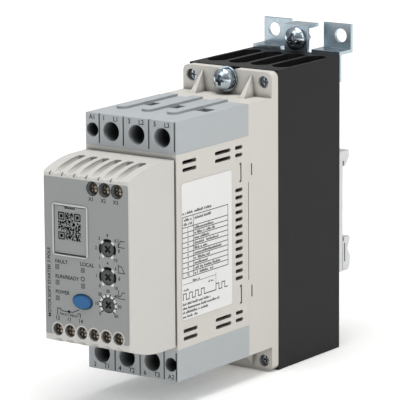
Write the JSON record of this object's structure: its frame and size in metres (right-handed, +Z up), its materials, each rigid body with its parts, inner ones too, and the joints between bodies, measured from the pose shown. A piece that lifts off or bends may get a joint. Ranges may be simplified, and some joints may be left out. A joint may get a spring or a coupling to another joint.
{
  "type": "soft starter",
  "caption": "Rail-mounted motor soft starter: finned heatsink, slim moulded case, power terminal blocks and a crowned control head with dials, flap and button.",
  "frame": {"origin": "middle of the rail's front face, at mid width of the unit", "axes": "+X to the right along the rail, -Y towards the user, +Z up"},
  "size_m": [0.0451, 0.1631, 0.1409],
  "materials": {
    "housing_plastic": "fine-textured moulded off-white",
    "head_plastic": "fine-textured moulded light grey",
    "terminal_plastic": "fine-textured moulded blue-grey",
    "plate_film": "satin mid grey",
    "frame_plastic": "satin light grey",
    "black_anodised": "black anodised, satin",
    "zinc_sheet": "bright zinc plate",
    "screw_steel": "zinc plated",
    "dark_screw": "blackened",
    "signal_screw": "dull nickel over brass",
    "clamp_steel": "nickel plated",
    "copper": "bare copper",
    "dial_plastic": "satin dark grey",
    "black_plastic": "satin black",
    "button_plastic": "semi-gloss blue",
    "lamp_plastic": "smoked translucent",
    "board": "green solder mask",
    "relay_plastic": "dark blue case",
    "winding": "lacquered winding",
    "capacitor": "dark sleeve",
    "clip_plastic": "moulded off-white",
    "label_stock": "printed white film"
  },
  "bodies": {
    "case": {"heatsink": "black_anodised", "base_frame": "housing_plastic", "main_housing": "housing_plastic", "upper_terminal_block": "terminal_plastic", "lower_terminal_block": "terminal_plastic", "control_head": "head_plastic", "faceplate": "plate_film", "flap_frame": "frame_plastic", "service_port": "black_plastic", "tact_switch": "black_plastic", "rotary_switches": "black_plastic", "light_pipes": "lamp_plastic", "upper_signal_clamps": "clamp_steel", "upper_signal_screws": "signal_screw", "lower_signal_clamps": "clamp_steel", "lower_signal_screws": "signal_screw", "line_clamps": "clamp_steel", "line_screws": "screw_steel", "load_clamps": "clamp_steel", "load_screws": "screw_steel", "line_busbars": "copper", "load_busbars": "copper", "control_board": "board", "link_board": "board", "power_board": "board", "thyristor_modules": "black_plastic", "bypass_relays": "relay_plastic", "current_transformers": "black_plastic", "supply_transformer": "winding", "supply_capacitors": "capacitor", "frame_screws": "screw_steel", "earth_washers": "screw_steel", "earth_screw": "screw_steel", "mounting_bracket": "zinc_sheet", "bracket_screw": "screw_steel", "bracket_nut": "screw_steel", "bracket_fixing_screws": "dark_screw", "rail_clip": "clip_plastic", "clip_screws": "dark_screw", "latch_spring": "clamp_steel", "side_label": "label_stock"},
    "flap": {"service_flap": "plate_film"},
    "button": {"reset_button": "button_plastic"},
    "dial_a": {"upper_dial": "dial_plastic"},
    "dial_b": {"middle_dial": "dial_plastic"},
    "dial_c": {"lower_dial": "dial_plastic"},
    "latch": {"rail_latch": "clip_plastic"}
  },
  "joints": [
    {"name": "flap_open", "type": "hinge", "parent": "case", "child": "flap", "pos_m": [-0.0078, -0.15405, 0.0023], "axis": [1, 0, 0], "range_deg": [0, 95]},
    {"name": "reset_press", "type": "slide", "parent": "case", "child": "button", "axis": [0, 1, 0], "range_m": [0, 0.001], "stiffness_N_per_m": 400},
    {"name": "upper_dial_turn", "type": "hinge", "parent": "case", "child": "dial_a", "pos_m": [0.0106, -0.1548, 0.0059], "axis": [0, 1, 0], "range_deg": [-135, 135]},
    {"name": "middle_dial_turn", "type": "hinge", "parent": "case", "child": "dial_b", "pos_m": [0.0106, -0.1548, -0.00545], "axis": [0, 1, 0], "range_deg": [-135, 135]},
    {"name": "lower_dial_turn", "type": "hinge", "parent": "case", "child": "dial_c", "pos_m": [0.0106, -0.1548, -0.0168], "axis": [0, 1, 0], "range_deg": [-135, 135]},
    {"name": "latch_pull", "type": "slide", "parent": "case", "child": "latch", "axis": [0, 0, -1], "range_m": [0, 0.004], "stiffness_N_per_m": 1500, "deforming": ["latch_spring"]}
  ]
}
